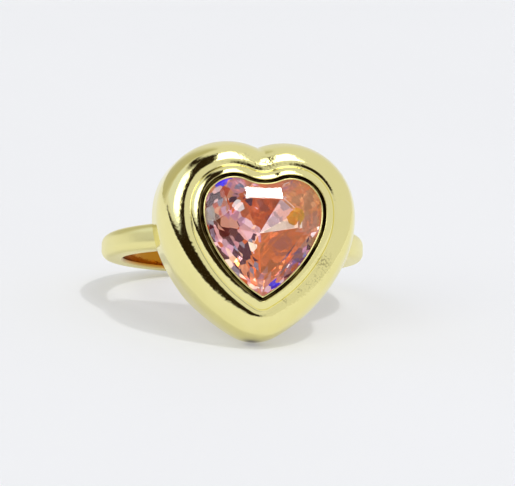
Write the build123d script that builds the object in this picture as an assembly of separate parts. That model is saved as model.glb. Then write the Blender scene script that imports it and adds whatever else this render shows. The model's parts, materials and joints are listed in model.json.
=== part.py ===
"""Ring with a puffy heart head and a heart-cut stone, lying on a flat surface.

The cast metal is one solid: a tapering band, a domed heart, and a raised collar with a thin lip
that holds the stone. It is drawn flat first, with the heart's outline in XY and its height along
Z, then stood on the band, and last tipped until the heart's tip and the back of the band both
touch the surface. The heart faces -Y, +Z is up, and the origin is at the bottom centre.
"""
from build123d import *
from math import asin, atan2, cos, degrees, hypot, pi, radians, sin, sqrt
import os

# Band, mm
FINGER_RADIUS = 8.65
BAND_THICKNESS = 1.75
BAND_WIDTH_AT_HEAD = 2.15
BAND_WIDTH_AT_BACK = 1.7
BAND_OUTER_ROUND = 0.7
BAND_INNER_ROUND = 0.3
BORE_STOCK = 0.05

# Outline of the stone's window, mm and degrees: one half runs from the cleft to the tip
LOBE_SPREAD = 2.23
LOBE_RADIUS = 2.44
SHOULDER_RADIUS = 4.7
SHOULDER_FROM = 6.3
SHOULDER_TO = -24.2
SIDE_RADIUS = 10.4
TIP_RADIUS = 0.19

# Head, mm and degrees: distances out from the window's outline, heights up from the head's flat
# back, and slopes down from level
HEAD_MARGIN = 3.13
CLEFT_ROUND = 0.12
SADDLE_DEPTH = 1.7
HEAD_ABOVE_BAND = 1.7
BACK_EDGE_ROUND = 0.5
CREST_MARGIN = 1.28
CREST_HEIGHT = 5.0
CREST_RADIUS = 0.48
TOP_SLOPE = 15.0
TOP_RADIUS = 5.6
SHOULDER_SLOPE = 21.0
SHOULDER_MARGIN = 2.6
FLANK_SLOPE = 62.0
CREASE_MARGIN = 0.95
COLLAR_MARGIN = 0.27
COLLAR_HEIGHT = 5.42
COLLAR_SLOPE = 15.0
COLLAR_RADIUS = 3.4
COLLAR_KNEE_SLOPE = 21.0
COLLAR_SIDE_SLOPE = 76.0
GROOVE_MARGIN = 0.17
GROOVE_DEPTH = 0.3
LIP_WIDTH = 0.14
LIP_HEIGHT = 5.4

# Stone, mm
STONE_GAP = 0.04
LIP_THICKNESS = 0.2
LIP_OVERLAP = 0.12
GIRDLE_THICKNESS = 0.15
CROWN_HEIGHT = 0.75
CROWN_EDGE_RISE = 0.1
CULET_OVER_FINGER = 0.25
LEDGE_DEPTH = 1.1
LEDGE_SCALE = 0.78

# Corners of the stone's facets in one half, cleft to tip, as shares of the outline's length. The
# first table also says how far out from the stone's middle the flat table reaches at each.
TABLE_CORNERS = ((0.17, 0.60), (0.37, 0.60), (0.59, 0.67), (0.77, 0.68), (1, 0.69))
CROWN_CORNERS = (0.12, 0.27, 0.48, 0.68, 0.885)
CLEFT_CORNERS = (0, 0.06)
PAVILION_CORNERS = (TABLE_CORNERS[0][0], TABLE_CORNERS[1][0], CROWN_CORNERS[2], TABLE_CORNERS[-1][0])

# Heights and reach of those facets, as shares of the crown, of the pavilion and of the outline
STONE_MIDDLE_SHARE = 0.42
CROWN_MIDDLE_SCALE = 0.82
CROWN_MIDDLE_RISE = 0.60
PAVILION_SCALE = 0.62
PAVILION_DROP = 0.50

# Derived sizes, mm
CLEFT_RADIUS = HEAD_MARGIN + CLEFT_ROUND
LIP_INSIDE = -LIP_WIDTH
GIRDLE_MARGIN = LIP_INSIDE + LIP_OVERLAP
GIRDLE_TOP = LIP_HEIGHT - LIP_THICKNESS - STONE_GAP - CROWN_EDGE_RISE
GIRDLE_BOTTOM = GIRDLE_TOP - GIRDLE_THICKNESS
BAND_OUTER_RADIUS = FINGER_RADIUS + BAND_THICKNESS
HEAD_BACK_TO_AXIS = FINGER_RADIUS - SADDLE_DEPTH
CULET_HEIGHT = SADDLE_DEPTH + CULET_OVER_FINGER
PAVILION_DEPTH = GIRDLE_BOTTOM - CULET_HEIGHT
TABLE_HEIGHT = GIRDLE_TOP + CROWN_HEIGHT


def half_outline(margin):
    """Arcs of the right half, cleft to tip, at a margin out from the window's outline.

    Each arc is (centre x, centre y, radius, start angle, end angle, side), where side is 1 if
    the metal outside lies away from the centre and -1 in the hollow cleft.
    """
    cleft_y = sqrt((LOBE_RADIUS + CLEFT_RADIUS) ** 2 - LOBE_SPREAD ** 2)
    shoulder_from = radians(SHOULDER_FROM)
    shoulder_to = radians(SHOULDER_TO)
    shoulder_step = SHOULDER_RADIUS - LOBE_RADIUS
    shoulder_x = LOBE_SPREAD - shoulder_step * cos(shoulder_from)
    shoulder_y = -shoulder_step * sin(shoulder_from)
    side_step = SIDE_RADIUS - SHOULDER_RADIUS
    side_x = shoulder_x - side_step * cos(shoulder_to)
    side_y = shoulder_y - side_step * sin(shoulder_to)
    tip_y = side_y - sqrt((SIDE_RADIUS - TIP_RADIUS) ** 2 - side_x ** 2)
    side_to = atan2(tip_y - side_y, -side_x)
    cleft_to = atan2(-cleft_y, LOBE_SPREAD)
    return (
        (0, cleft_y, CLEFT_RADIUS - margin, -pi / 2, cleft_to, -1),
        (LOBE_SPREAD, 0, LOBE_RADIUS + margin, cleft_to + pi, shoulder_from, 1),
        (shoulder_x, shoulder_y, SHOULDER_RADIUS + margin, shoulder_from, shoulder_to, 1),
        (side_x, side_y, SIDE_RADIUS + margin, shoulder_to, side_to, 1),
        (0, tip_y, TIP_RADIUS + margin, side_to, -pi / 2, 1),
    )


def point_on(arc, share):
    """The point at a share of the way along one arc."""
    x, y, radius, start, end, _ = arc
    angle = start + share * (end - start)
    return x + radius * cos(angle), y + radius * sin(angle)


def outline_face(margin, shrink=1):
    """The closed heart at a margin, shrunk towards the stone's middle, as a flat face."""
    edges = []
    for arc in half_outline(margin):
        points = [shrunk(point_on(arc, share), shrink) for share in (0, 0.5, 1)]
        edges.append(ThreePointArc(*points))
        edges.append(ThreePointArc(*[(-x, y) for x, y in points]))
    return make_face(edges)


def outline_point(margin, share):
    """The point at a share of the half outline's length, with the cleft at 0 and the tip at 1."""
    arcs = half_outline(margin)
    lengths = [arc[2] * abs(arc[4] - arc[3]) for arc in arcs]
    rest = share * sum(lengths)
    for arc, length in zip(arcs, lengths):
        if rest <= length:
            return point_on(arc, rest / length)
        rest -= length
    return point_on(arcs[-1], 1)


def stone_middle():
    """Height in the outline of the point that the table, crown and pavilion close in on."""
    cleft_y = outline_point(0, 0)[1]
    tip_y = outline_point(0, 1)[1]
    return cleft_y + STONE_MIDDLE_SHARE * (tip_y - cleft_y)


def shrunk(point, shrink):
    """A point of the outline pulled in towards the stone's middle."""
    middle = stone_middle()
    return point[0] * shrink, middle + (point[1] - middle) * shrink


def round_part(centre, radius, start, end):
    """Three points of an arc of the section, from one direction to the other, in degrees."""
    angles = [radians(start + share * (end - start)) for share in (0, 0.5, 1)]
    return [(centre[0] + radius * cos(a), centre[1] + radius * sin(a)) for a in angles]


def falling(start, radius, slope, end_slope):
    """Three points of an arc that falls outward from a point, its slope growing in degrees."""
    centre = (start[0] - radius * sin(radians(slope)), start[1] - radius * cos(radians(slope)))
    return round_part(centre, radius, 90 - slope, 90 - end_slope)


def falling_to(start, margin, slope, end_slope):
    """The same arc, with the radius that ends it at a margin."""
    spread = sin(radians(end_slope)) - sin(radians(slope))
    return falling(start, (margin - start[0]) / spread, slope, end_slope)


def head_section():
    """The head's section as (margin, height) runs: two points are a line, three an arc.

    A round goes up from the crease to the crest. It rises no further than it reaches out, so a
    higher crest gets an upright wall beneath the round, and that wall's run has no length here.
    """
    lip_round = LIP_WIDTH / 2
    lip_centre = (LIP_INSIDE + lip_round, LIP_HEIGHT - lip_round)
    lip_foot = (0, lip_centre[1])
    groove = (GROOVE_MARGIN, LIP_HEIGHT - GROOVE_DEPTH)
    collar = (COLLAR_MARGIN, COLLAR_HEIGHT)
    collar_top = falling(collar, COLLAR_RADIUS, COLLAR_SLOPE, COLLAR_KNEE_SLOPE)
    collar_side = falling_to(collar_top[-1], CREASE_MARGIN, COLLAR_KNEE_SLOPE, COLLAR_SIDE_SLOPE)
    crest_step = CREST_MARGIN - CREASE_MARGIN
    crest_rise = CREST_HEIGHT - collar_side[-1][1]
    rounded_rise = max(-crest_step, min(crest_rise, crest_step))
    inner_round = (crest_step ** 2 + rounded_rise ** 2) / (2 * rounded_rise)
    inner_from = 90 + 2 * degrees(atan2(rounded_rise, crest_step))
    inner_centre = (CREST_MARGIN, CREST_HEIGHT - inner_round)
    crest = falling((CREST_MARGIN, CREST_HEIGHT), CREST_RADIUS, 0, TOP_SLOPE)
    top = falling(crest[-1], TOP_RADIUS, TOP_SLOPE, SHOULDER_SLOPE)
    shoulder = falling_to(top[-1], SHOULDER_MARGIN, SHOULDER_SLOPE, FLANK_SLOPE)
    flank = falling_to(shoulder[-1], HEAD_MARGIN, FLANK_SLOPE, 90)
    back_centre = (HEAD_MARGIN - BACK_EDGE_ROUND, BACK_EDGE_ROUND)
    return (
        [(LIP_INSIDE, 0), (LIP_INSIDE, lip_centre[1])],
        round_part(lip_centre, lip_round, 180, 0),
        [lip_foot, groove],
        [groove, collar],
        collar_top,
        collar_side,
        [collar_side[-1], (CREASE_MARGIN, CREST_HEIGHT - rounded_rise)],
        round_part(inner_centre, inner_round, inner_from, 90),
        crest,
        top,
        shoulder,
        flank,
        [flank[-1], (HEAD_MARGIN, BACK_EDGE_ROUND)],
        round_part(back_centre, BACK_EDGE_ROUND, 0, -90),
        [(back_centre[0], 0), (LIP_INSIDE, 0)],
    )


def head_slice(arc):
    """The head's section turned about one arc's centre, through that arc's angle."""
    x, y, radius, start, end, side = arc
    runs = []
    for run in head_section():
        if hypot(run[-1][0] - run[0][0], run[-1][1] - run[0][1]) < 1e-6:
            continue
        points = [(radius + side * margin, height) for margin, height in run]
        runs.append(Line(*points) if len(points) == 2 else ThreePointArc(*points))
    outward = (cos(start), sin(start), 0)
    plane = Plane((x, y, 0), x_dir=outward, z_dir=(sin(start), -cos(start), 0))
    turning = 1 if end > start else -1
    axis = Axis((x, y, 0), (0, 0, turning))
    return revolve(plane * make_face(runs), axis=axis, revolution_arc=degrees(abs(end - start)))


def flat_head():
    """The whole heart, closed across the window up to the stone's ledge."""
    half = Part() + [head_slice(arc) for arc in half_outline(0)]
    core = extrude(outline_face(LIP_INSIDE), amount=GIRDLE_BOTTOM)
    return half + half.mirror(Plane.YZ) + core


def stone_space():
    """The room cut for the stone: its window, its girdle groove, and the open back."""
    window = extrude(outline_face(LIP_INSIDE), amount=LIP_HEIGHT + CROWN_HEIGHT - GIRDLE_BOTTOM)
    girdle = outline_face(GIRDLE_MARGIN + STONE_GAP)
    groove_height = GIRDLE_THICKNESS + CROWN_EDGE_RISE + 2 * STONE_GAP
    groove = extrude(girdle, amount=groove_height)
    through = outline_face(GIRDLE_MARGIN + STONE_GAP, LEDGE_SCALE)
    seat = loft([girdle, Pos(0, 0, -LEDGE_DEPTH) * through])
    hole = Pos(0, 0, -LEDGE_DEPTH) * extrude(through, amount=-GIRDLE_BOTTOM)
    return Pos(0, 0, GIRDLE_BOTTOM - STONE_GAP) * (window + groove + seat + hole)


def stone_ring(corners, scale_by, height):
    """Corners pulled in towards the stone's middle, all at one height."""
    return [(*shrunk(corner, scale_by), height) for corner in corners]


def both_sides(shares):
    """Outline points of the right half from the cleft down, then of the left half back up."""
    right = [outline_point(GIRDLE_MARGIN, share) for share in shares]
    left = [(-x, y) for x, y in reversed(right) if x > 1e-6]
    return right + left


def upright(top, bottom):
    """The facets of the girdle that join two open rings of corners."""
    pairs = list(zip(top, bottom))
    return [[a, b, d, c] for (a, b), (c, d) in zip(pairs, pairs[1:])]


def crown_facets():
    """The table, one flat facet from it to the cleft, then stars, kites and girdle facets."""
    main = both_sides([share for share, _ in TABLE_CORNERS])
    between = both_sides(CROWN_CORNERS)
    reach = [scale_by for _, scale_by in TABLE_CORNERS]
    reach += reach[-2::-1]
    table = [(*shrunk(corner, scale_by), TABLE_HEIGHT) for corner, scale_by in zip(main, reach)]
    crown = stone_ring(between, CROWN_MIDDLE_SCALE, GIRDLE_TOP + CROWN_MIDDLE_RISE * CROWN_HEIGHT)
    edge = table[0][1]
    middle, right, left = both_sides(CLEFT_CORNERS)
    slope = CROWN_HEIGHT / (middle[1] - edge)
    cleft = [(x, y, TABLE_HEIGHT - slope * (y - edge)) for x, y in (left, middle, right)]
    for i in (0, -1):
        x, y, _ = crown[i]
        crown[i] = (x, y, TABLE_HEIGHT - slope * (y - edge))
    top_main = stone_ring(main, 1, GIRDLE_TOP)
    top_between = stone_ring(between, 1, GIRDLE_TOP)
    facets = [table, [table[0], table[-1], crown[-1], *cleft, crown[0]]]
    facets.append([crown[0], cleft[-1], top_between[0]])
    facets.append([crown[-1], top_between[-1], cleft[0]])
    girdle = [top_between[-1], *cleft, top_between[0]]
    for i, (corner, top) in enumerate(zip(table, top_main)):
        after = i + 1
        facets += [
            [corner, crown[i], top],
            [corner, top, crown[after]],
            [crown[i], top_between[i], top],
            [crown[after], top, top_between[after]],
        ]
        girdle += [top, top_between[after]]
        if after < len(table):
            facets.append([corner, crown[after], table[after]])
    return facets + upright(girdle, [(x, y, GIRDLE_BOTTOM) for x, y, _ in girdle])


def pavilion_facets():
    """Long facets that meet at the culet, and fans of small ones from them to the girdle."""
    shares = sorted([share for share, _ in TABLE_CORNERS] + list(CROWN_CORNERS + CLEFT_CORNERS))
    corners = both_sides(shares)
    girdle = stone_ring(corners, 1, GIRDLE_BOTTOM)
    knee = stone_ring(corners, PAVILION_SCALE, GIRDLE_BOTTOM - PAVILION_DROP * PAVILION_DEPTH)
    culet = (0, stone_middle(), CULET_HEIGHT)
    count = len(corners)
    right = [shares.index(share) for share in PAVILION_CORNERS]
    places = right + [count - i for i in reversed(right[:-1])]
    facets = []
    for start, end in zip(places, places[1:] + [places[0] + count]):
        near = knee[start]
        far = knee[end % count]
        middle = (start + end + (2 * end <= count)) // 2
        facets += [[near, far, culet], [near, girdle[middle % count], far]]
        for i in range(start, end):
            top = near if i < middle else far
            facets.append([top, girdle[i % count], girdle[(i + 1) % count]])
    return facets


def heart_stone():
    """A heart-cut stone, its crown and pavilion closed into one solid."""
    facets = crown_facets() + pavilion_facets()
    return Solid(Shell([Face(Wire.make_polygon(facet)) for facet in facets]))


def band_section(angle, width):
    """The band's rounded section at an angle round the finger, as a face."""
    half = width / 2
    inside = FINGER_RADIUS - BORE_STOCK
    outside = BAND_OUTER_RADIUS
    outer_x = outside - BAND_OUTER_ROUND
    outer_y = half - BAND_OUTER_ROUND
    inner_x = inside + BAND_INNER_ROUND
    inner_y = half - BAND_INNER_ROUND
    runs = [
        ThreePointArc(*round_part((outer_x, outer_y), BAND_OUTER_ROUND, 0, 90)),
        Line((outer_x, half), (inner_x, half)),
        ThreePointArc(*round_part((inner_x, inner_y), BAND_INNER_ROUND, 90, 180)),
        Line((inside, inner_y), (inside, -inner_y)),
        ThreePointArc(*round_part((inner_x, -inner_y), BAND_INNER_ROUND, 180, 270)),
        Line((inner_x, -half), (outer_x, -half)),
        ThreePointArc(*round_part((outer_x, -outer_y), BAND_OUTER_ROUND, 270, 360)),
        Line((outside, -outer_y), (outside, outer_y)),
    ]
    outward = (cos(angle), sin(angle), 0)
    plane = Plane((0, 0, 0), x_dir=outward, z_dir=(sin(angle), -cos(angle), 0))
    return plane * make_face(runs)


def band():
    """The full band, tapering from the head at -Y to the back at +Y."""
    head_end = band_section(-pi / 2, BAND_WIDTH_AT_HEAD)
    back_end = band_section(pi / 2, BAND_WIDTH_AT_BACK)
    path = CenterArc((0, 0), FINGER_RADIUS, -90, 180)
    half = sweep([head_end, back_end], path=path, multisection=True)
    return half + half.mirror(Plane.YZ)


def stand_on_band(shape):
    """Turn the flat head upright, facing -Y, and move it to its place on the band."""
    return Pos(0, -HEAD_BACK_TO_AXIS, HEAD_ABOVE_BAND) * Rot(90, 0, 0) * shape


def resting_tilt():
    """Degrees that the ring tips back, until tip and band touch one flat surface.

    In the ring's middle plane the head touches at the corner where the finger hole meets the
    tip's upright wall, and the band at its rounded outer edge, so the surface is a line through
    the corner that is tangent to that round.
    """
    corner_z = HEAD_ABOVE_BAND + outline_point(HEAD_MARGIN, 1)[1]
    reach = BAND_OUTER_RADIUS - BAND_OUTER_ROUND + FINGER_RADIUS
    rise = corner_z + BAND_WIDTH_AT_BACK / 2 - BAND_OUTER_ROUND
    return degrees(-asin(BAND_OUTER_ROUND / hypot(reach, rise)) - atan2(rise, reach))


def build():
    """Both pieces at rest, with the origin at the bottom centre."""
    head = stand_on_band(flat_head())
    finger = Cylinder(FINGER_RADIUS, 2 * head.bounding_box().diagonal)
    metal = head + band() - stand_on_band(stone_space()) - finger
    pieces = {"ring_setting": metal, "heart_stone": stand_on_band(heart_stone())}
    tilt = Rot(-resting_tilt(), 0, 0)
    box = (tilt * metal).bounding_box()
    place = Pos(-box.center().X, -box.center().Y, -box.min.Z) * tilt
    print("tilt", resting_tilt(), "finger axis", (place * Pos(0, 0, 0)).position)
    return {name: place * piece for name, piece in pieces.items()}


os.makedirs("parts", exist_ok=True)
for node, piece in build().items():
    export_step(piece, f"parts/{node}.step")
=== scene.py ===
"""A heart ring as it lies on a white table: pale gold plate on a cast setting, and a peach stone.

Shapes are worked out in mm. The setting is drawn in the flat frame of the heart, with the outline
in x and y and the height along z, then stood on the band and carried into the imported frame, whose
finger hole gives the band's axis.
"""

import json
import math

import bpy
import numpy as np
from mathutils import Matrix, Vector


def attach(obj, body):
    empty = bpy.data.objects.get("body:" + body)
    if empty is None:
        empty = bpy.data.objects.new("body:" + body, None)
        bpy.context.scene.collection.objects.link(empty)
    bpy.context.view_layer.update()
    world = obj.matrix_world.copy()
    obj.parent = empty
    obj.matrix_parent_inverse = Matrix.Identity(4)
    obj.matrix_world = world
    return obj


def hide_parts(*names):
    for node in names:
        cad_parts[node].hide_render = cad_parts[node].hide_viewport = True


MM = 0.001

# Photograph, pixels and degrees: its size, where the finger hole's middle lies, and the view
PHOTO_WIDTH = 515
PHOTO_HEIGHT = 486
HOLE_PIXEL_X = 232.2
HOLE_PIXEL_Y = 249.3
PIXELS_PER_MM = 12.55
VIEW_TO_LEFT = 11.4
VIEW_ABOVE = 14.6
VIEW_ROLL = 4.83
VIEW_DISTANCE = 300.0
SENSOR_WIDTH = 36.0

# Band, mm
FINGER_RADIUS = 8.65
BAND_THICKNESS = 1.75
BAND_WIDTH_AT_HEAD = 2.15
BAND_WIDTH_AT_BACK = 1.7
BAND_OUTER_ROUND = 0.7
BAND_INNER_ROUND = 0.3

# Outline of the stone's window, mm and degrees: one half runs from the cleft to the tip
LOBE_SPREAD = 2.23
LOBE_RADIUS = 2.44
SHOULDER_RADIUS = 4.7
SHOULDER_FROM = 6.3
SHOULDER_TO = -24.2
SIDE_RADIUS = 10.4
TIP_RADIUS = 0.19

# Head, mm and degrees: distances out from the window's outline, heights up from the head's flat
# back, and slopes down from level
HEAD_MARGIN = 3.13
CLEFT_ROUND = 0.12
CLEFT_RADIUS = HEAD_MARGIN + CLEFT_ROUND
SADDLE_DEPTH = 1.7
HEAD_BACK_TO_AXIS = FINGER_RADIUS - SADDLE_DEPTH
HEAD_ABOVE_BAND = 1.7
CREST_MARGIN = 1.28
CREST_HEIGHT = 5.0
CREST_RADIUS = 0.48
TOP_SLOPE = 15.0
TOP_RADIUS = 5.6
SHOULDER_SLOPE = 21.0
SHOULDER_MARGIN = 2.6
FLANK_SLOPE = 62.0
CREASE_MARGIN = 0.95
COLLAR_MARGIN = 0.27
COLLAR_HEIGHT = 5.42
COLLAR_SLOPE = 15.0
COLLAR_RADIUS = 3.4
COLLAR_KNEE_SLOPE = 21.0
COLLAR_SIDE_SLOPE = 76.0
GROOVE_MARGIN = 0.12
GROOVE_DEPTH = 0.3
LIP_WIDTH = 0.14
LIP_HEIGHT = 5.4
BACK_EDGE_ROUND = 0.5
SADDLE_EDGE_ROUND = 0.15

# Painted shade and dark reflection in the groove round the lip, reaching further out at the left,
# mm out from the window's outline
GROOVE_FROM = -0.01
GROOVE_TO = 0.27
GROOVE_TO_AT_LEFT = 0.37
GROOVE_FADE = 0.05

# Places that the polishing wheel left rough, in the heart's frame: x, y and reach in mm, and how
# much of the dirt in their pits shows. They lie on the face alone, above a height in mm
ROUGH_PLACES = (
    (-1.5, 3.7, 0.35, 0.6), (-0.6, 3.3, 0.2, 0.7), (0.2, 3.45, 0.3, 0.7), (0.8, 3.7, 0.3, 0.6),
    (3.0, 3.5, 0.3, 0.5), (4.5, -3.9, 0.25, 0.3), (4.9, -4.3, 0.3, 0.4), (4.3, -5.2, 0.25, 0.3),
    (5.0, -3.6, 0.25, 0.35), (3.6, -5.8, 0.15, 0.4), (2.9, -6.2, 0.15, 0.5), (1.8, -7.0, 0.15, 0.4),
)
ROUGH_ABOVE = 4.5

# Painted shade under the heart's tip, where the ring rests on the table: its middle in the heart's
# frame, and reach
TIP_SHADE = (-0.2, -9.95, 2.35)
TIP_SHADE_REACH = 0.45

# Seat of the stone, mm: its wall and ledge, the middle that the facets close in on, and the culet
SEAT_MARGIN = 0.02
SEAT_TOP = 5.15
SEAT_BOTTOM = 4.87
LEDGE_DEPTH = 1.1
LEDGE_SCALE = 0.78
STONE_MIDDLE_Y = -1.74
CULET_OVER_FINGER = 0.25
CULET_HEIGHT = SADDLE_DEPTH + CULET_OVER_FINGER

# How far corners of the setting are softened, mm: every edge by polishing, and the dome's crease
POLISH = 0.035
CREASE_SOFTNESS = 0.07

# Fineness of the head's mesh: points round each arc of the outline, then up the stone's hole, out
# over its ledge as shares, over the face, down the flank, round the back's edge and across the back
ARC_STEPS = (30, 46, 24, 30, 26)
HOLE_STEPS = 6
LEDGE_SHARES = (0.35, 0.7, 1.0)
FACE_STEPS = 74
FLANK_STEPS = 44
EDGE_STEPS = 8
BACK_STEPS = 15

# Points of the face are spaced by these weights of a bend, in radians, and of an even step, and
# those of the flank by this power of their share of the way, which draws them to the crest
BEND_WEIGHT = 0.5
EVEN_WEIGHT = 0.004
FLANK_CROWDING = 1.1

# Band's mesh, degrees from the head's middle and mm: where it ends inside the head, and where its
# inner wall sinks under the wall of the head's own hole
BAND_END = 38.0
BAND_SINKS_FROM = 53.5
BAND_SINKS_OVER = 1.5
BAND_SINK = 0.12
BAND_STEPS = 260

# Painted shade inside the band, a deeper amber for its shade and gold-on-gold reflection, fades out
# over its rounded edges, mm
BORE_SHADE_FADE = 0.25

# Patterns in the gold plate: bumps per mm, and how much finer detail each carries
TONE = (0.5, 2.0)
# patches in the strength of the groove's painted shade
GROOVE_SHADE_PATCHES = (0.7, 2.0)
GRAIN = (3.2, 3.0)
PITS = (6.0, 3.0)

# Stretch of the noise, from 0 to 1, over which the groove's painted shade and the pits come up, and
# the least that the painted shade gets
GROOVE_SHADE_NOISE = (0.3, 0.6)
GROOVE_SHADE_LEAST = 0.55
PIT_NOISE = (0.5, 0.58)

# Height of the grain in mm, the depth of a pit as a share of it, and how rough the gold is
GRAIN_HEIGHT = 0.007
PIT_DEPTH = 0.7
MIRROR_ROUGHNESS = (0.04, 0.11)
SATIN_ROUGHNESS = 0.32

# Bumps per mm in the tone of the stone's clear body
BODY_PER_MM = 0.4

# The stone's back: painted reflection colour on each long facet and on the small ones round them,
# by the direction, in degrees from the heart's right, where the facet begins
LONG_FACETS = (
    (-90, "#c67640"), (8, "#ffead6"), (29, "#dfc2c2"), (60, "#b25627"), (120, "#c16e41"),
    (150, "#d1a897"), (172, "#5c3030"), (215, "#e0b8a8"), (240, "#c67640"),
)
RIM_FACETS = (
    (-90, "#c98e7a"), (-68, "#976c70"), (-40, "#7d5a55"), (-20, "#aa8164"), (-5, "#c88e70"),
    (22, "#cf9566"), (52, "#c48a70"), (110, "#c4909b"), (128, "#cc9877"), (158, "#623f3b"),
    (188, "#ad909b"), (203, "#836a77"), (218, "#c9a8a5"), (233, "#cc9877"),
)

# Where the small facets begin, mm up from the culet, and how much higher than that at the lower
# right, which is all that lies right of and below these places, mm from the culet
KNEE_HEIGHT = 1.5
KNEE_RISE_LOW_RIGHT = 0.45
LOW_RIGHT_X = 0.5
LOW_RIGHT_Y = 0.1

# Fragments of reflections: their colours by chance from 0 to 1, and their fineness
FRAGMENTS = (
    (0.0, "#4e2a3c"), (0.22, "#c49cb4"), (0.42, "#c0683c"), (0.58, "#8a8ca6"), (0.72, "#e8ccd4"),
    (0.86, "#ffffff"), (0.95, "#b8502c"),
)
FRAGMENTS_PER_MM = 1.8

# Share of the coat that fragments take up: rising to the left between two places, and more round
# the lower rim, above one height and below one place, mm from the culet
FRAGMENTS_LEFT = 0.65
FRAGMENTS_LEFT_OVER = (0.2, -1.2)
RIM_FRAGMENTS = 0.4
RIM_FRAGMENTS_ABOVE = 2.1
RIM_FRAGMENTS_BELOW = 0.6

# Single bright or dark reflections in the heart's frame: x, y and reach in mm, and colour
FLASHES = (
    (-3.1, 2.2, 0.45, "#5a48f0"), (1.0, -5.6, 0.3, "#4a3ae8"), (-3.9, -0.5, 0.6, "#8c949c"),
    (2.5, -0.5, 0.33, "#d09a30"), (-1.1, -1.6, 0.75, "#d8b4bc"), (-2.0, -3.6, 0.5, "#e8ccc0"),
    (-3.2, -1.3, 0.4, "#5c3434"),
)

# Light that the coat gives of itself, for what the real stone gathers from all sides
COAT_GLOW = 0.5

# Facets whose outward direction leans this far to the back belong to the coated pavilion
PAVILION_LEAN = -0.1

# Light round the ring as the gold mirrors it: the azimuths and elevations of a patch's edges in
# degrees, how much it climbs from left to right, how soft its edges are, its colour and strength
PATCHES = (
    ("room_behind", (-170, -128), (-8, 74), 0.0, 10, "#d8d4bc", 0.75),
    ("window", (-122, -26), (12, 53), 0.1, 3.5, "#e6edff", 1.0),
    ("window_glare", (-62, -26), (22, 52), 0.1, 5, "#ffffff", 3.2),
    ("front_panel", (2, 33), (53, 71), 0.0, 3, "#ffffff", 4.0),
    ("dark_over_window", (-118, -34), (58, 72), 0.06, 5, "#2c2010", 0.8),
    ("dark_over_front", (-35, 2), (50, 72), 0.0, 3, "#2c2010", 0.8),
    ("window_frame", (-31, -14), (12, 54), 0.0, 3, "#2c2010", 0.8),
    ("dark_sill", (-80, 12), (-7, 15.4), 0.22, 2.2, "#2c2010", 0.8),
    ("sill_end", (-118, -76), (-7, 4), 0.14, 2.5, "#2c2010", 0.8),
)
TENT_COLOUR = "#fafafc"
TENT_STRENGTH = 0.8

# Lamps: azimuth and elevation in degrees, distance and width in metres, and power in watts
KEY_LAMP = (36, 67, 1.2, 0.06, 3.5)
STONE_LAMP = (95, 77, 1.2, 0.17, 1.9)

# Table top: half its width in metres, bumps per mm in its tone, the least and the most rough that it
# is, and how much light comes through
TABLE_HALF = 1.5
TABLE_TONE_PER_MM = 0.02
TABLE_ROUGHNESS = (0.75, 0.85)
TABLE_GLOW = 0.265


def linear(colour):
    """An sRGB hex colour as linear red, green, blue and full alpha."""
    parts = [int(colour[i:i + 2], 16) / 255 for i in (1, 3, 5)]
    return tuple(c / 12.92 if c <= 0.04045 else ((c + 0.055) / 1.055) ** 2.4 for c in parts) + (1.0,)


def add(tree, kind, inputs=None, **settings):
    """One node with its settings; inputs gives a socket a value, or another node's output.

    A Mix node takes its factor at 0, two numbers at 2 and 3 and gives output 0, or it takes two
    colours at 6 and 7 and gives output 2.
    """
    made = tree.nodes.new(kind)
    for name, value in settings.items():
        setattr(made, name, value)
    for name, value in (inputs or {}).items():
        if isinstance(value, bpy.types.NodeSocket):
            tree.links.new(value, made.inputs[name])
        else:
            made.inputs[name].default_value = value
    return made


def surface(name, grid, closed_u, marks=None):
    """A closed mesh object of quads from a grid of points in mm, of shape (u, v, 3), smooth shaded
    and closed round v. It is closed round u too, or else has a flat cap at either end. Marks, by
    name, are values from 0 to 1 at the points that a material reads."""
    rows, columns = grid.shape[:2]
    index = np.arange(rows * columns).reshape(rows, columns)
    if closed_u:
        index = np.concatenate((index, index[:1]), axis=0)
    ends = [] if closed_u else [index[0].tolist(), index[-1, ::-1].tolist()]
    index = np.concatenate((index, index[:, :1]), axis=1)
    quads = np.stack((index[:-1, :-1], index[1:, :-1], index[1:, 1:], index[:-1, 1:]), axis=-1)
    faces = quads.reshape(-1, 4).tolist() + ends
    mesh = bpy.data.meshes.new(name)
    mesh.from_pydata((grid.reshape(-1, 3) * MM).tolist(), [], faces)
    mesh.polygons.foreach_set("use_smooth", np.ones(len(faces), bool))
    for mark, values in (marks or {}).items():
        layer = mesh.attributes.new(mark, "FLOAT", "POINT")
        layer.data.foreach_set("value", np.broadcast_to(values, grid.shape[:2]).ravel())
    mesh.update()
    made = bpy.data.objects.new(name, mesh)
    bpy.context.scene.collection.objects.link(made)
    return made


def half_arcs():
    """Arcs of the outline's right half as (x, y, radius, start, end, side), cleft to tip."""
    cleft_y = math.sqrt((LOBE_RADIUS + CLEFT_RADIUS) ** 2 - LOBE_SPREAD ** 2)
    start = math.radians(SHOULDER_FROM)
    end = math.radians(SHOULDER_TO)
    step = SHOULDER_RADIUS - LOBE_RADIUS
    shoulder_x = LOBE_SPREAD - step * math.cos(start)
    shoulder_y = -step * math.sin(start)
    step = SIDE_RADIUS - SHOULDER_RADIUS
    side_x = shoulder_x - step * math.cos(end)
    side_y = shoulder_y - step * math.sin(end)
    tip_y = side_y - math.sqrt((SIDE_RADIUS - TIP_RADIUS) ** 2 - side_x ** 2)
    side_end = math.atan2(tip_y - side_y, -side_x)
    cleft_end = math.atan2(-cleft_y, LOBE_SPREAD)
    return (
        (0, cleft_y, CLEFT_RADIUS, -math.pi / 2, cleft_end, -1),
        (LOBE_SPREAD, 0, LOBE_RADIUS, cleft_end + math.pi, start, 1),
        (shoulder_x, shoulder_y, SHOULDER_RADIUS, start, end, 1),
        (side_x, side_y, SIDE_RADIUS, end, side_end, 1),
        (0, tip_y, TIP_RADIUS, side_end, -math.pi / 2, 1),
    )


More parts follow.
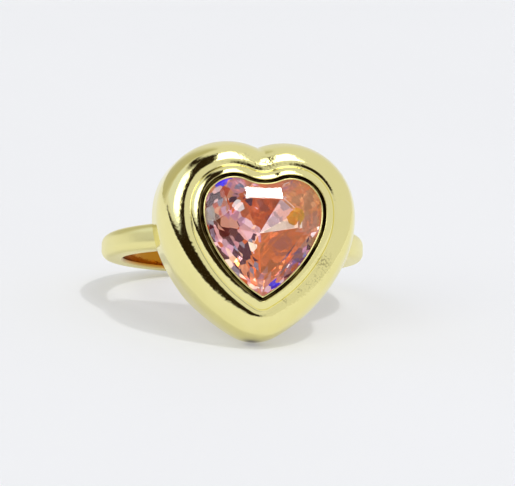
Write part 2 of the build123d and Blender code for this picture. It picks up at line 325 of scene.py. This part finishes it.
class Outline:
    """The closed heart as arcs: a point is its arc's centre plus (radius + side * margin) times
    the direction, clockwise from the cleft and down the right side."""

    def __init__(self):
        arcs = half_arcs()
        columns = []
        for (x, y, radius, start, end, side), steps in zip(arcs, ARC_STEPS):
            angle = start + (end - start) * np.arange(steps) / steps
            columns.append(np.stack(np.broadcast_arrays(x, y, radius, angle, side)))
        x, y, radius, _, end, side = arcs[-1]
        columns.append(np.array([[x], [y], [radius], [end], [side]]))
        x, y, radius, angle, side = np.concatenate(columns, axis=1)
        across = np.cos(angle)
        up = np.sin(angle)
        halves = ((x, -x), (y, y), (radius, radius), (side, side), (across, -across), (up, up))
        self.x, self.y, self.radius, self.side, self.across, self.up = [
            np.concatenate((right, left[-2:0:-1]))[:, None] for right, left in halves
        ]

    def at(self, margin):
        """x and y of every outline point at a margin, which may vary by point and column."""
        reach = self.radius + self.side * margin
        return self.x + reach * self.across, self.y + reach * self.up


def arc(centre, radius, start, end, steps=40):
    """Points on an arc, angles in degrees."""
    angle = np.radians(np.linspace(start, end, steps))
    return np.stack((centre[0] + radius * np.cos(angle), centre[1] + radius * np.sin(angle)), 1)


def softened(points, spread, step=0.004):
    """The line through the points at even steps, its corners rounded by a bell-shaped average."""
    gaps = np.hypot(*np.diff(points, axis=0).T)
    along = np.concatenate(([0], np.cumsum(gaps)))
    even = np.arange(0, along[-1], step)
    line = np.stack([np.interp(even, along, points[:, i]) for i in (0, 1)], 1)
    reach = int(4 * spread / step)
    bell = np.exp(-0.5 * (np.arange(-reach, reach + 1) * step / spread) ** 2)
    bell /= bell.sum()
    before = 2 * line[0] - line[reach:0:-1]
    after = 2 * line[-1] - line[-2:-reach - 2:-1]
    padded = np.concatenate((before, line, after))
    return np.stack([np.convolve(padded[:, i], bell, "valid") for i in (0, 1)], 1)


def falling(start, radius, slope, end_slope):
    """An arc that falls outward from a point, its slope growing between two angles below level."""
    centre = (start[0] - radius * math.sin(math.radians(slope)),
              start[1] - radius * math.cos(math.radians(slope)))
    return arc(centre, radius, 90 - slope, 90 - end_slope)


def falling_to(start, margin, slope, end_slope):
    """The same arc, with the radius that ends it at a margin."""
    spread = math.sin(math.radians(end_slope)) - math.sin(math.radians(slope))
    return falling(start, (margin - start[0]) / spread, slope, end_slope)


def face_section():
    """The head's section from the lip's inner wall out over the dome and down the wall, as
    (margin, height) at even steps, with the step where the crest lies."""
    lip_round = LIP_WIDTH / 2
    lip_centre = (lip_round - LIP_WIDTH, LIP_HEIGHT - lip_round)
    collar_top = falling((COLLAR_MARGIN, COLLAR_HEIGHT), COLLAR_RADIUS, COLLAR_SLOPE, COLLAR_KNEE_SLOPE)
    collar_side = falling_to(collar_top[-1], CREASE_MARGIN, COLLAR_KNEE_SLOPE, COLLAR_SIDE_SLOPE)
    crease = collar_side[-1]
    step = CREST_MARGIN - CREASE_MARGIN
    rise = CREST_HEIGHT - crease[1]
    inner = (step ** 2 + rise ** 2) / (2 * rise)
    inner_from = 90 + math.degrees(math.asin(step / inner))
    crest = falling((CREST_MARGIN, CREST_HEIGHT), CREST_RADIUS, 0, TOP_SLOPE)
    top = falling(crest[-1], TOP_RADIUS, TOP_SLOPE, SHOULDER_SLOPE)
    shoulder = falling_to(top[-1], SHOULDER_MARGIN, SHOULDER_SLOPE, FLANK_SLOPE)
    flank = falling_to(shoulder[-1], HEAD_MARGIN, FLANK_SLOPE, 90)
    lip = (
        np.array(((-LIP_WIDTH, SEAT_TOP), (-LIP_WIDTH, lip_centre[1]))),
        arc(lip_centre, lip_round, 180, 0)[1:],
        np.array(((GROOVE_MARGIN, LIP_HEIGHT - GROOVE_DEPTH), (COLLAR_MARGIN, COLLAR_HEIGHT))),
    )
    dome = (
        collar_top[1:],
        collar_side[1:],
        arc((CREST_MARGIN, CREST_HEIGHT - inner), inner, inner_from, 90)[1:],
        crest[1:],
        top[1:],
        shoulder[1:],
        flank[1:],
        np.array(((HEAD_MARGIN, 0.0),)),
    )
    dome = softened(np.concatenate(dome), CREASE_SOFTNESS)
    line = softened(np.concatenate((*lip, dome)), POLISH)
    past_crease = line[:, 0] > (CREASE_MARGIN + CREST_MARGIN) / 2
    crest_at = int(np.argmax(line[:, 1] * past_crease))
    return line, crest_at


def spaced(line, count):
    """Steps along a line, closer together where it bends."""
    turn = np.unwrap(np.arctan2(*np.diff(line, axis=0).T[::-1]))
    bend = np.abs(np.diff(turn, prepend=turn[0]))
    weight = np.cumsum(bend * BEND_WEIGHT + EVEN_WEIGHT)
    weight = np.concatenate(([0], weight)) / weight[-1]
    return np.interp(np.linspace(0, 1, count), weight, np.arange(len(line)))


def back_height(x):
    """Height of the head's back over the flat back plane, where the finger hole cuts it."""
    inside = np.clip(FINGER_RADIUS ** 2 - x ** 2, 0, None)
    return np.maximum(np.sqrt(inside) - HEAD_BACK_TO_AXIS, 0)


def layer(x, y, height):
    """Points in the heart's flat frame, from coordinates that broadcast together."""
    return np.stack(np.broadcast_arrays(x, y, height), axis=-1)


def seat_layers(outline):
    """Up the hole behind the stone, out over its sloping ledge, and up the wall round the girdle.
    The hole is the girdle's outline drawn in by the ledge's scale towards the stone's middle."""
    girdle_x, girdle_y = outline.at(SEAT_MARGIN)
    hole_x = girdle_x * LEDGE_SCALE
    hole_y = STONE_MIDDLE_Y + (girdle_y - STONE_MIDDLE_Y) * LEDGE_SCALE
    low = back_height(hole_x)
    rise = np.linspace(0, 1, HOLE_STEPS)
    hole = layer(hole_x, hole_y, low + (SEAT_BOTTOM - LEDGE_DEPTH - low) * rise)
    out = np.array(LEDGE_SHARES)
    ledge = layer(hole_x + (girdle_x - hole_x) * out, hole_y + (girdle_y - hole_y) * out,
                  SEAT_BOTTOM - LEDGE_DEPTH * (1 - out))
    return np.concatenate((hole, ledge, layer(girdle_x, girdle_y, SEAT_TOP)), axis=1)


def face_layers(outline, line, crest_at):
    """Over lip, collar and dome up to the crest, and how far out from the window each layer lies."""
    steps = spaced(line[:crest_at + 1], FACE_STEPS)
    margin = np.interp(steps, np.arange(len(line)), line[:, 0])
    height = np.interp(steps, np.arange(len(line)), line[:, 1])
    return layer(*outline.at(margin), height), margin


def flank_layers(outline, line, crest_at):
    """From the crest down the wall, and round the back's edge as a parabola, which is tighter
    where the finger hole cuts the wall."""
    wall_x, _ = outline.at(HEAD_MARGIN)
    saddle = back_height(wall_x) / SADDLE_DEPTH
    edge_round = BACK_EDGE_ROUND + (SADDLE_EDGE_ROUND - BACK_EDGE_ROUND) * saddle
    edge = back_height(wall_x) + edge_round
    down = line[crest_at:][::-1]
    last = np.interp(edge, down[:, 1], np.arange(len(line) - 1, crest_at - 1, -1))
    share = np.linspace(0, 1, FLANK_STEPS + 1)[1:] ** FLANK_CROWDING
    steps = crest_at + (last - crest_at) * share
    margin = np.interp(steps, np.arange(len(line)), line[:, 0])
    height = np.interp(steps, np.arange(len(line)), line[:, 1])
    wall = layer(*outline.at(margin), height)
    turn = np.linspace(0, 1, EDGE_STEPS + 1)[1:]
    edge_x, edge_y = outline.at(margin[:, -1:] - edge_round * turn ** 2)
    turned = layer(edge_x, edge_y, back_height(edge_x) + edge_round * (1 - turn) ** 2)
    return np.concatenate((wall, turned), axis=1)


def head_marks(grid, outline, first, margin):
    """Marks on the head's points. The groove's painted shade fades over its two edges and is joined
    by a bell of painted shade under the tip, where the ring rests, and the rough one is a sum of
    bells. The face is the layers from the first one on, which lie at the margins."""
    leftward = np.clip(-outline.across, 0, 1)
    groove_to = GROOVE_TO + (GROOVE_TO_AT_LEFT - GROOVE_TO) * leftward
    # painted shade in the groove round the lip
    groove_shade = np.zeros(grid.shape[:2])
    groove_shade[:, first:first + FACE_STEPS] = (
        np.clip((margin - GROOVE_FROM) / GROOVE_FADE, 0, 1)
        * np.clip((groove_to - margin) / GROOVE_FADE, 0, 1))
    # a bell of painted shade under the tip, where the ring rests on the table
    apart = np.linalg.norm(grid - np.array(TIP_SHADE), axis=-1)
    groove_shade = np.maximum(groove_shade, np.exp(-0.5 * (apart / TIP_SHADE_REACH) ** 2))
    rough = sum(shown * np.exp(-0.5 * ((grid[..., 0] - x) ** 2 + (grid[..., 1] - y) ** 2) / reach ** 2)
                for x, y, reach, shown in ROUGH_PLACES)
    return {"groove_shade": groove_shade, "rough": np.clip(rough, 0, 1) * (grid[..., 2] > ROUGH_ABOVE)}


def head_grid():
    """The heart's closed skin and its marks: round the outline one way, and round the section the
    other, from the open back up past the seat, over lip, collar and dome, down the wall, and
    straight across the back, which lies flat or on the wall of the finger hole."""
    outline = Outline()
    line, crest_at = face_section()
    seat = seat_layers(outline)
    face, margin = face_layers(outline, line, crest_at)
    flank = flank_layers(outline, line, crest_at)
    across = np.linspace(0, 1, BACK_STEPS + 1)[1:-1, None]
    x, y, _ = np.moveaxis(flank[:, -1:] + (seat[:, :1] - flank[:, -1:]) * across, -1, 0)
    grid = np.concatenate((seat, face, flank, layer(x, y, back_height(x))), axis=1)
    return grid, head_marks(grid, outline, seat.shape[1], margin)


def band_section(width, inside, outside, steps=12):
    """Points round one section of the band, as (radius, along the axis), for arrays of widths
    and radii: four rounded corners joined by straight sides."""
    half = width / 2
    corners = (
        (outside - BAND_OUTER_ROUND, half - BAND_OUTER_ROUND, BAND_OUTER_ROUND, 0),
        (inside + BAND_INNER_ROUND, half - BAND_INNER_ROUND, BAND_INNER_ROUND, 90),
        (inside + BAND_INNER_ROUND, BAND_INNER_ROUND - half, BAND_INNER_ROUND, 180),
        (outside - BAND_OUTER_ROUND, BAND_OUTER_ROUND - half, BAND_OUTER_ROUND, 270),
    )
    radius, along = [], []
    for centre, side, bend, start in corners:
        angle = np.radians(np.linspace(start, start + 90, steps))[None, :]
        radius.append(centre[:, None] + bend * np.cos(angle))
        along.append(side[:, None] + bend * np.sin(angle))
    return np.concatenate(radius, axis=1), np.concatenate(along, axis=1)


def band_grid():
    """The band round the finger: its section, turned about the finger's axis, narrows to the back
    with the cosine of the turn. Its ends lie inside the metal of the head. The mark with it, which
    carries the painted shade inside the band, is 1 on the inner wall and 0 outside."""
    turn = np.linspace(BAND_END, 360 - BAND_END, BAND_STEPS)
    from_head = np.minimum(turn, 360 - turn)
    taper = 0.5 + 0.5 * np.cos(np.radians(turn))
    width = BAND_WIDTH_AT_BACK + (BAND_WIDTH_AT_HEAD - BAND_WIDTH_AT_BACK) * taper
    outside = np.full_like(turn, FINGER_RADIUS + BAND_THICKNESS)
    inside = FINGER_RADIUS + BAND_SINK * np.clip((BAND_SINKS_FROM - from_head) / BAND_SINKS_OVER, 0, 1)
    radius, along = band_section(width, inside, outside)
    angle = np.radians(turn - 90)[:, None]
    points = np.stack((radius * np.cos(angle), radius * np.sin(angle), along), axis=-1)
    return points, np.clip((inside[:, None] + BORE_SHADE_FADE - radius) / BORE_SHADE_FADE, 0, 1)


def carried(grid, hole):
    """From the ring's own frame, with the finger along z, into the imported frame, both in mm."""
    axis = np.array(hole["axis"])
    across = np.array((1.0, 0.0, 0.0))
    forward = np.cross(axis, across)
    return np.array(hole["pos_m"]) / MM + grid @ np.array((across, forward, axis))


def stood_up(grid):
    """From the flat frame of the heart to the ring's own frame: the heart faces -Y."""
    x, y, z = np.moveaxis(grid, -1, 0)
    return np.stack((x, -HEAD_BACK_TO_AXIS - z, HEAD_ABOVE_BAND + y), axis=-1)


def in_mm(tree):
    """Object coordinates in mm, which every pattern is scaled from."""
    where = add(tree, "ShaderNodeTexCoord").outputs["Object"]
    return add(tree, "ShaderNodeVectorMath", {0: where, "Scale": 1 / MM}, operation="SCALE").outputs[0]


def gold_plate():
    """Pale gold electroplate over a tumbled brass casting: a mirror whose reflections waver a
    little, hazier in places. Painted shade darkens the groove round the lip and the underside of the
    tip, dark polishing residue is left in the pits of rough places, the band is satin, and its inner
    wall is painted a deeper amber for the shade and gold-on-gold reflection inside the band."""
    material = bpy.data.materials.new("pale_gold_with_painted_shade")
    material.use_nodes = True
    tree = material.node_tree
    shader = tree.nodes["Principled BSDF"]
    where = in_mm(tree)
    cloud, patches, grain, pitting = [
        add(tree, "ShaderNodeTexNoise", {"Vector": where, "Scale": per_mm, "Detail": detail}).outputs[0]
        for per_mm, detail in (TONE, GROOVE_SHADE_PATCHES, GRAIN, PITS)
    ]
    groove_shade, rough, bore_shade, satin = [
        add(tree, "ShaderNodeAttribute", attribute_name=mark).outputs["Fac"]
        for mark in ("groove_shade", "rough", "bore_shade", "satin")
    ]
    patches = add(tree, "ShaderNodeMapRange", {
        "Value": patches, "From Min": GROOVE_SHADE_NOISE[0], "From Max": GROOVE_SHADE_NOISE[1],
        "To Min": GROOVE_SHADE_LEAST}).outputs["Result"]
    pitting = add(tree, "ShaderNodeMapRange", {
        "Value": pitting, "From Min": PIT_NOISE[0], "From Max": PIT_NOISE[1]}).outputs["Result"]
    shade_and_dirt = add(tree, "ShaderNodeMath", {0: groove_shade, 1: patches}, operation="MULTIPLY").outputs[0]
    pits = add(tree, "ShaderNodeMath", {0: rough, 1: pitting}, operation="MULTIPLY").outputs[0]
    shade_and_dirt = add(tree, "ShaderNodeMath", {0: shade_and_dirt, 1: pits}, operation="MAXIMUM").outputs[0]
    colour = add(tree, "ShaderNodeMix", {0: cloud, 6: linear("#f8efac"), 7: linear("#f2e9a0")},
                 data_type="RGBA").outputs[2]
    # painted shade, with dirt in the pits, then painted shade and gold-on-gold reflection inside the band
    for mark, tint in ((shade_and_dirt, "#54401a"), (bore_shade, "#bd8020")):
        colour = add(tree, "ShaderNodeMix", {0: mark, 6: colour, 7: linear(tint)},
                     data_type="RGBA").outputs[2]
    tree.links.new(colour, shader.inputs["Base Color"])
    mirror = add(tree, "ShaderNodeMix", {0: grain, 2: MIRROR_ROUGHNESS[0], 3: MIRROR_ROUGHNESS[1]})
    sheen = add(tree, "ShaderNodeMix", {0: satin, 2: mirror.outputs[0], 3: SATIN_ROUGHNESS})
    tree.links.new(sheen.outputs[0], shader.inputs["Roughness"])
    shader.inputs["Metallic"].default_value = 1.0
    height = add(tree, "ShaderNodeMath", {0: pits, 1: -PIT_DEPTH, 2: grain}, operation="MULTIPLY_ADD")
    ripple = add(tree, "ShaderNodeBump", {
        "Height": height.outputs[0], "Strength": 1.0, "Distance": GRAIN_HEIGHT * MM})
    tree.links.new(ripple.outputs["Normal"], shader.inputs["Normal"])
    return material


def clear_crystal():
    """The stone's crown, girdle and table: polished clear crystal with a faint peach body."""
    material = bpy.data.materials.new("polished_peach_crystal")
    material.use_nodes = True
    tree = material.node_tree
    shader = tree.nodes["Principled BSDF"]
    cloud = add(tree, "ShaderNodeTexNoise", {"Vector": in_mm(tree), "Scale": BODY_PER_MM}).outputs[0]
    body = add(tree, "ShaderNodeMix", {0: cloud, 6: linear("#fdf6f2"), 7: linear("#fbf1ec")},
               data_type="RGBA").outputs[2]
    tree.links.new(body, shader.inputs["Base Color"])
    shader.inputs["Roughness"].default_value = 0.0
    shader.inputs["IOR"].default_value = 1.9
    shader.inputs["Specular Tint"].default_value = (0.4, 0.4, 0.4, 1.0)
    shader.inputs["Transmission Weight"].default_value = 1.0
    return material


def painted_reflection_tints(tree, share, chance):
    """The painted reflections' colours, which change in sharp steps: of the long facets and of the
    small ones round them by a share of the full turn, and of the fragments by chance."""
    tints = []
    for value, steps in (
        (share, [((angle + 90) / 360, colour) for angle, colour in LONG_FACETS]),
        (share, [((angle + 90) / 360, colour) for angle, colour in RIM_FACETS]),
        (chance, FRAGMENTS),
    ):
        ramp = add(tree, "ShaderNodeValToRGB", {0: value})
        ramp.color_ramp.interpolation = "CONSTANT"
        elements = ramp.color_ramp.elements
        elements.remove(elements[-1])
        for i, (place, colour) in enumerate(steps):
            element = elements[0] if i == 0 else elements.new(place)
            element.position = place
            element.color = linear(colour)
        tints.append(ramp.outputs[0])
    return tints


def on_small_facets(tree, x, y, z):
    """1 above the pavilion's knee, where its small facets begin, and 0 on the long ones."""
    right = add(tree, "ShaderNodeMath", {0: x, 1: LOW_RIGHT_X}, operation="GREATER_THAN").outputs[0]
    below = add(tree, "ShaderNodeMath", {0: y, 1: LOW_RIGHT_Y}, operation="LESS_THAN").outputs[0]
    low_right = add(tree, "ShaderNodeMath", {0: right, 1: below}, operation="MULTIPLY").outputs[0]
    knee = add(tree, "ShaderNodeMath", {0: low_right, 1: KNEE_RISE_LOW_RIGHT, 2: KNEE_HEIGHT},
               operation="MULTIPLY_ADD").outputs[0]
    return add(tree, "ShaderNodeMath", {0: z, 1: knee}, operation="GREATER_THAN").outputs[0]


def in_fragments(tree, x, y, z, chance):
    """1 where a chance from 0 to 1 is less than the share that fragments take up there."""
    left = add(tree, "ShaderNodeMapRange", {
        "Value": x, "From Min": FRAGMENTS_LEFT_OVER[0], "From Max": FRAGMENTS_LEFT_OVER[1],
        "To Max": FRAGMENTS_LEFT}).outputs["Result"]
    rim = add(tree, "ShaderNodeMath", {0: z, 1: RIM_FRAGMENTS_ABOVE}, operation="GREATER_THAN").outputs[0]
    below = add(tree, "ShaderNodeMath", {0: y, 1: RIM_FRAGMENTS_BELOW}, operation="LESS_THAN").outputs[0]
    rim = add(tree, "ShaderNodeMath", {0: rim, 1: below}, operation="MULTIPLY").outputs[0]
    taken = add(tree, "ShaderNodeMath", {0: rim, 1: RIM_FRAGMENTS, 2: left},
                operation="MULTIPLY_ADD").outputs[0]
    return add(tree, "ShaderNodeMath", {0: taken, 1: chance}, operation="GREATER_THAN").outputs[0]


def coated_back(hole):
    """The stone's pavilion: facets with a thin mirror coat behind the crystal, painted from facet to
    facet with colours that stand for the stone's reflections, which the coat also gives off as a
    glow. Its patterns lie in the heart's flat frame, in mm from the culet."""
    material = bpy.data.materials.new("stone_back_painted_reflections")
    material.use_nodes = True
    tree = material.node_tree
    shader = tree.nodes["Principled BSDF"]
    culet = carried(stood_up(np.array([[0.0, STONE_MIDDLE_Y, CULET_HEIGHT]])), hole)[0]
    _, back, up = hole["axis"]
    upright = math.pi / 2 - math.atan2(back, up)
    flat = add(tree, "ShaderNodeMapping", {
        "Vector": in_mm(tree), "Location": tuple(culet), "Rotation": (upright, 0, 0),
    }, vector_type="TEXTURE").outputs[0]
    x, y, z = add(tree, "ShaderNodeSeparateXYZ", {0: flat}).outputs
    turn = add(tree, "ShaderNodeMath", {0: y, 1: x}, operation="ARCTAN2").outputs[0]
    share = add(tree, "ShaderNodeMath", {0: turn, 1: 0.5 / math.pi, 2: 0.25},
                operation="MULTIPLY_ADD").outputs[0]
    share = add(tree, "ShaderNodeMath", {0: share}, operation="FRACT").outputs[0]
    cells = add(tree, "ShaderNodeTexVoronoi", {"Vector": flat, "Scale": FRAGMENTS_PER_MM})
    colour_chance, chance, _ = add(tree, "ShaderNodeSeparateColor", {0: cells.outputs["Color"]}).outputs
    # colours of the painted reflections on the stone's back
    long, small, fragment = painted_reflection_tints(tree, share, colour_chance)
    tint = add(tree, "ShaderNodeMix", {0: on_small_facets(tree, x, y, z), 6: long, 7: small},
               data_type="RGBA").outputs[2]
    tint = add(tree, "ShaderNodeMix", {0: in_fragments(tree, x, y, z, chance), 6: tint, 7: fragment},
               data_type="RGBA").outputs[2]
    level = add(tree, "ShaderNodeVectorMath", {0: cells.outputs["Position"], 1: (1, 1, 0)},
                operation="MULTIPLY").outputs[0]
    for place_x, place_y, reach, colour in FLASHES:
        apart = add(tree, "ShaderNodeVectorMath", {
            0: level, 1: (place_x, place_y - STONE_MIDDLE_Y, 0)}, operation="DISTANCE").outputs["Value"]
        inside = add(tree, "ShaderNodeMath", {0: apart, 1: reach}, operation="LESS_THAN").outputs[0]
        tint = add(tree, "ShaderNodeMix", {0: inside, 6: tint, 7: linear(colour)},
                   data_type="RGBA").outputs[2]
    tree.links.new(tint, shader.inputs["Base Color"])
    tree.links.new(tint, shader.inputs["Emission Color"])
    shader.inputs["Emission Strength"].default_value = COAT_GLOW
    shader.inputs["Metallic"].default_value = 0.8
    shader.inputs["Roughness"].default_value = 0.02
    return material


def lit_table():
    """Opal white acrylic, a little uneven in tone and sheen, lit softly from beneath, so that the
    ring's shadow on it stays pale."""
    material = bpy.data.materials.new("backlit_opal_acrylic")
    material.use_nodes = True
    tree = material.node_tree
    shader = tree.nodes["Principled BSDF"]
    cloud = add(tree, "ShaderNodeTexNoise", {
        "Vector": in_mm(tree), "Scale": TABLE_TONE_PER_MM}).outputs[0]
    tone = add(tree, "ShaderNodeMix", {0: cloud, 6: linear("#c7c8ca"), 7: linear("#cbccce")},
               data_type="RGBA").outputs[2]
    tree.links.new(tone, shader.inputs["Base Color"])
    sheen = add(tree, "ShaderNodeMix", {
        0: cloud, 2: TABLE_ROUGHNESS[0], 3: TABLE_ROUGHNESS[1]}).outputs[0]
    tree.links.new(sheen, shader.inputs["Roughness"])
    shader.inputs["Specular IOR Level"].default_value = 0.2
    shader.inputs["Emission Color"].default_value = linear("#fdfdff")
    shader.inputs["Emission Strength"].default_value = TABLE_GLOW
    return material


def place_camera(hole):
    """A camera as far off, as high and as far to the left as the photograph's, aimed so that the
    finger hole's middle falls on its pixel."""
    left = math.radians(VIEW_TO_LEFT)
    above = math.radians(VIEW_ABOVE)
    roll = math.radians(VIEW_ROLL)
    towards = Vector((-math.sin(left) * math.cos(above), -math.cos(left) * math.cos(above),
                      math.sin(above)))
    level = Vector((math.cos(left), -math.sin(left), 0))
    upright = towards.cross(level)
    right = level * math.cos(roll) + upright * math.sin(roll)
    up = upright * math.cos(roll) - level * math.sin(roll)
    middle = Vector(hole["pos_m"]) / MM
    place = middle + towards * VIEW_DISTANCE
    aim = (middle + right * ((PHOTO_WIDTH / 2 - HOLE_PIXEL_X) / PIXELS_PER_MM)
           + up * ((HOLE_PIXEL_Y - PHOTO_HEIGHT / 2) / PIXELS_PER_MM))
    back = (place - aim).normalized()
    right = up.cross(back).normalized()
    up = back.cross(right)
    data = bpy.data.cameras.new("camera")
    data.sensor_width = SENSOR_WIDTH
    data.lens = PIXELS_PER_MM * VIEW_DISTANCE * SENSOR_WIDTH / PHOTO_WIDTH
    data.clip_start = 0.01
    data.clip_end = 10
    camera = bpy.data.objects.new("camera", data)
    turned = Matrix((right, up, back)).transposed().to_4x4()
    camera.matrix_world = Matrix.Translation(place * MM) @ turned
    bpy.context.scene.collection.objects.link(camera)
    bpy.context.scene.camera = camera


def place_table():
    """The white table top as one large plane at the ring's lowest point."""
    mesh = bpy.data.meshes.new("table_top")
    corners = [(TABLE_HALF * x, TABLE_HALF * y, 0) for x, y in ((-1, -1), (1, -1), (1, 1), (-1, 1))]
    mesh.from_pydata(corners, [], [(0, 1, 2, 3)])
    mesh.materials.append(lit_table())
    table = bpy.data.objects.new("table_top", mesh)
    bpy.context.scene.collection.objects.link(table)


def direction(azimuth, elevation):
    """Unit vector: azimuth 0 is -Y, from where the photograph looks, and 90 is +X."""
    a, e = math.radians(azimuth), math.radians(elevation)
    return (math.sin(a) * math.cos(e), -math.cos(a) * math.cos(e), math.sin(e))


def surroundings():
    """A white tent, with soft patches of light and dark in it: a window with its frame, sill and
    dark surroundings to the left, and a light panel in front. Each patch is a product of four soft
    steps, one at each of its edges."""
    world = bpy.data.worlds.new("tent")
    bpy.context.scene.world = world
    world.use_nodes = True
    tree = world.node_tree
    tree.nodes.clear()
    look = add(tree, "ShaderNodeTexCoord").outputs["Generated"]
    parts = add(tree, "ShaderNodeSeparateXYZ", {0: look}).outputs
    front = add(tree, "ShaderNodeMath", {0: parts["Y"], 1: -1.0}, operation="MULTIPLY").outputs[0]
    turn = add(tree, "ShaderNodeMath", {0: parts["X"], 1: front}, operation="ARCTAN2").outputs[0]
    turn = add(tree, "ShaderNodeMath", {0: turn}, operation="DEGREES").outputs[0]
    rise = add(tree, "ShaderNodeMath", {0: parts["Z"]}, operation="ARCSINE").outputs[0]
    rise = add(tree, "ShaderNodeMath", {0: rise}, operation="DEGREES").outputs[0]
    colour = linear(TENT_COLOUR)
    colour = tuple(c * TENT_STRENGTH for c in colour[:3]) + (1.0,)
    for name, azimuths, elevations, climb, soft, tint, strength in PATCHES:
        middle = sum(azimuths) / 2
        level = add(tree, "ShaderNodeMath", {0: turn, 1: -climb, 2: climb * middle},
                    operation="MULTIPLY_ADD").outputs[0]
        level = add(tree, "ShaderNodeMath", {0: rise, 1: level}, operation="ADD").outputs[0]
        mask = 1.0
        for value, (low, high) in ((turn, azimuths), (level, elevations)):
            for edge, way in ((low, 1), (high, -1)):
                step = add(tree, "ShaderNodeMapRange", {
                    "Value": value, "From Min": edge - way * soft, "From Max": edge + way * soft,
                }, interpolation_type="SMOOTHSTEP").outputs["Result"]
                mask = add(tree, "ShaderNodeMath", {0: mask, 1: step}, operation="MULTIPLY").outputs[0]
        lit = tuple(c * strength for c in linear(tint)[:3]) + (1.0,)
        colour = add(tree, "ShaderNodeMix", {0: mask, 6: colour, 7: lit},
                     data_type="RGBA", label=name).outputs[2]
    light = add(tree, "ShaderNodeBackground", {"Color": colour, "Strength": 1.0})
    add(tree, "ShaderNodeOutputWorld", {"Surface": light.outputs[0]})


def lamp(name, azimuth, elevation, distance, width, power, mirrored):
    """A square lamp that looks at the ring. A mirrored one shows in polished and clear pieces alone,
    and any other one lights the table alone."""
    data = bpy.data.lights.new(name, "AREA")
    data.size = width
    data.energy = power
    made = bpy.data.objects.new(name, data)
    towards = Vector(direction(azimuth, elevation))
    made.location = towards * distance
    made.rotation_euler = towards.to_track_quat("Z", "Y").to_euler()
    made.visible_diffuse = not mirrored
    made.visible_glossy = mirrored
    made.visible_transmission = mirrored
    bpy.context.scene.collection.objects.link(made)
    return made


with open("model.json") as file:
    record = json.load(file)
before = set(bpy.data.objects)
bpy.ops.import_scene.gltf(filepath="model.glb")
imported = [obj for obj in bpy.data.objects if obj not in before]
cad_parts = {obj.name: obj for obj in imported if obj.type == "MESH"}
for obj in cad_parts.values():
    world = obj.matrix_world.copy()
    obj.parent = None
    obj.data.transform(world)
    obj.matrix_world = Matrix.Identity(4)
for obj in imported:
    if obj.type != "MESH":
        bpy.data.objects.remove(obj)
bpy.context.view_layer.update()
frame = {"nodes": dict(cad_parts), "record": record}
hole = next(m for m in frame["record"]["mounts"] if m["name"] == "finger_hole")

place_camera(hole)
place_table()
surroundings()
lamp("key", *KEY_LAMP, mirrored=False)
stone_lamp = lamp("stone_lamp", *STONE_LAMP, mirrored=True)

gold = gold_plate()
head_points, marks = head_grid()
head = surface("gold_head", carried(stood_up(head_points), hole), True, marks)
head.data.materials.append(gold)
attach(head, "root")
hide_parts("ring_setting")

# the band, whose inner wall carries painted shade
band_points, bore_shade = band_grid()
band = surface("gold_band", carried(band_points, hole), False, {"bore_shade": bore_shade, "satin": 1 - bore_shade})
band.data.materials.append(gold)
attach(band, "root")
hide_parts("ring_setting")

stone = frame["nodes"]["heart_stone"]
stone.data.materials.clear()
stone.data.materials.append(clear_crystal())
stone.data.materials.append(coated_back(hole))
normals = np.empty(3 * len(stone.data.polygons))
stone.data.polygons.foreach_get("normal", normals)
outward = stood_up(np.array([[0.0, 0.0, 1.0]])) - stood_up(np.zeros((1, 3)))
outward = carried(outward, hole) - carried(np.zeros((1, 3)), hole)
facing_back = normals.reshape(-1, 3) @ outward[0] < PAVILION_LEAN
stone.data.polygons.foreach_set("material_index", facing_back.astype(int))
only_stone = bpy.data.collections.new("lit_by_stone_lamp")
only_stone.objects.link(stone)
stone_lamp.light_linking.receiver_collection = only_stone

bpy.context.scene.view_settings.view_transform = "Standard"
bpy.context.scene.view_settings.look = "None"
